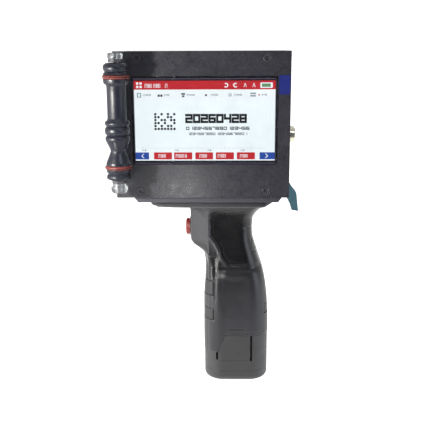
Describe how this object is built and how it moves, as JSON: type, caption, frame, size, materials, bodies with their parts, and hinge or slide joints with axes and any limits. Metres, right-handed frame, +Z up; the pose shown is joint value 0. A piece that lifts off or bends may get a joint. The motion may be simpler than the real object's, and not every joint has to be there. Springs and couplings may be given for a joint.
{
  "type": "handheld date code inkjet printer",
  "caption": "Pistol-grip inkjet coder: boxy metal print head with side touchscreen and guide rollers, red trigger, slide-in battery.",
  "frame": {"origin": "centre of the battery's flat base, on which the printer stands", "axes": "+Z up along the grip, -X towards the print face and rollers, -Y the side with the screen"},
  "size_m": [0.1346, 0.1162, 0.244],
  "materials": {
    "panel_black": "fine textured powder coat, charcoal",
    "grip_grey": "moulded nylon, satin",
    "battery_grey": "moulded, matt",
    "pad_rubber": "soft overmould",
    "screen_glass": "lit touch glass",
    "lcd_frame": "display body",
    "film_clear": "clear protective film",
    "tab_blue": "printed film",
    "board_green": "solder mask",
    "chip_black": "moulded",
    "steel": "zinc plated",
    "screw_black": "black oxide",
    "button_metal": "turned",
    "bay_plastic": "moulded",
    "cartridge_plastic": "moulded",
    "lid_plastic": "moulded",
    "nozzle_gold": "plated",
    "latch_teal": "moulded, satin",
    "nose_steel": "ground",
    "roller_black": "turned acetal, polished",
    "ring_orange": "silicone",
    "cap_clear": "pale moulded nut",
    "trigger_red": "moulded",
    "cell_wrap": "shrink wrap",
    "brass": "plated",
    "wire_red": "insulation"
  },
  "bodies": {
    "head": {"chassis": "panel_black", "front_panel": "panel_black", "front_panel_screws": "screw_black", "back_panel": "panel_black", "back_panel_screws": "screw_black", "touch_glass": "screen_glass", "lcd_module": "lcd_frame", "screen_film": "film_clear", "film_pull_tab": "tab_blue", "main_board": "board_green", "board_standoffs": "steel", "board_components": "chip_black", "cartridge_stall": "bay_plastic", "contact_board": "board_green", "latch_pin": "steel", "nose_plate": "nose_steel", "nose_screws": "screw_black", "bracket_screws": "steel", "encoder_sensor": "chip_black", "power_button_body": "button_metal", "power_button_nut": "steel", "usb_socket": "steel", "adapter_plate": "grip_grey", "adapter_screws": "screw_black", "grip_shell_front": "grip_grey", "grip_shell_back": "grip_grey", "grip_screws": "screw_black", "front_strap_pads": "pad_rubber", "back_strap_pads": "pad_rubber", "trigger_bezel": "cap_clear", "trigger_switch": "chip_black", "trigger_spring": "steel", "terminal_block": "bay_plastic", "terminal_blades": "brass", "power_harness": "wire_red", "front_roller_shaft": "steel", "front_roller_caps": "cap_clear", "front_roller_bracket": "screw_black", "rear_roller_shaft": "steel", "rear_roller_caps": "cap_clear", "rear_roller_bracket": "screw_black"},
    "front_roller": {"front_roller": "roller_black", "front_roller_rings": "ring_orange"},
    "rear_roller": {"rear_roller": "roller_black", "rear_roller_rings": "ring_orange"},
    "cartridge": {"ink_cartridge": "cartridge_plastic", "cartridge_lid": "lid_plastic", "nozzle_plate": "nozzle_gold"},
    "latch": {"cartridge_latch": "latch_teal"},
    "power_cap": {"power_button_cap": "button_metal"},
    "trigger": {"trigger_button": "trigger_red"},
    "battery": {"battery_case": "battery_grey", "battery_base_cap": "battery_grey", "battery_stem": "bay_plastic", "battery_cells": "cell_wrap", "battery_board": "board_green", "battery_contacts": "brass"},
    "tongue_front": {"battery_tongue_front": "battery_grey"},
    "tongue_back": {"battery_tongue_back": "battery_grey"}
  },
  "joints": [
    {"name": "front_roller_spin", "type": "hinge", "parent": "head", "child": "front_roller", "pos_m": [-0.0789, -0.049, 0.198], "axis": [0, 0, 1], "continuous": true},
    {"name": "rear_roller_spin", "type": "hinge", "parent": "head", "child": "rear_roller", "pos_m": [-0.0789, 0.049, 0.198], "axis": [0, 0, 1], "continuous": true},
    {"name": "cartridge_slide", "type": "slide", "parent": "head", "child": "cartridge", "axis": [1, 0, 0], "range_m": [0, 0.1]},
    {"name": "latch_rock", "type": "hinge", "parent": "head", "child": "latch", "pos_m": [0.03, 0.01, 0.1522], "axis": [0, -1, 0], "range_deg": [-3, 12]},
    {"name": "power_press", "type": "slide", "parent": "head", "child": "power_cap", "axis": [-1, 0, 0], "range_m": [0, 0.0012], "stiffness_N_per_m": 600, "springref_m": -0.001},
    {"name": "trigger_press", "type": "slide", "parent": "head", "child": "trigger", "axis": [1, 0, 0], "range_m": [0, 0.0022], "stiffness_N_per_m": 900, "springref_m": -0.001, "deforming": ["trigger_spring"]},
    {"name": "battery_slide", "type": "slide", "parent": "head", "child": "battery", "axis": [0, 0, -1], "range_m": [0, 0.075]},
    {"name": "tongue_front_press", "type": "hinge", "parent": "battery", "child": "tongue_front", "pos_m": [0, -0.0201, 0.0169], "axis": [-1, 0, 0], "range_deg": [0, 3], "stiffness_Nm_per_rad": 0.5},
    {"name": "tongue_back_press", "type": "hinge", "parent": "battery", "child": "tongue_back", "pos_m": [0, 0.0201, 0.0169], "axis": [1, 0, 0], "range_deg": [0, 3], "stiffness_Nm_per_rad": 0.5}
  ]
}
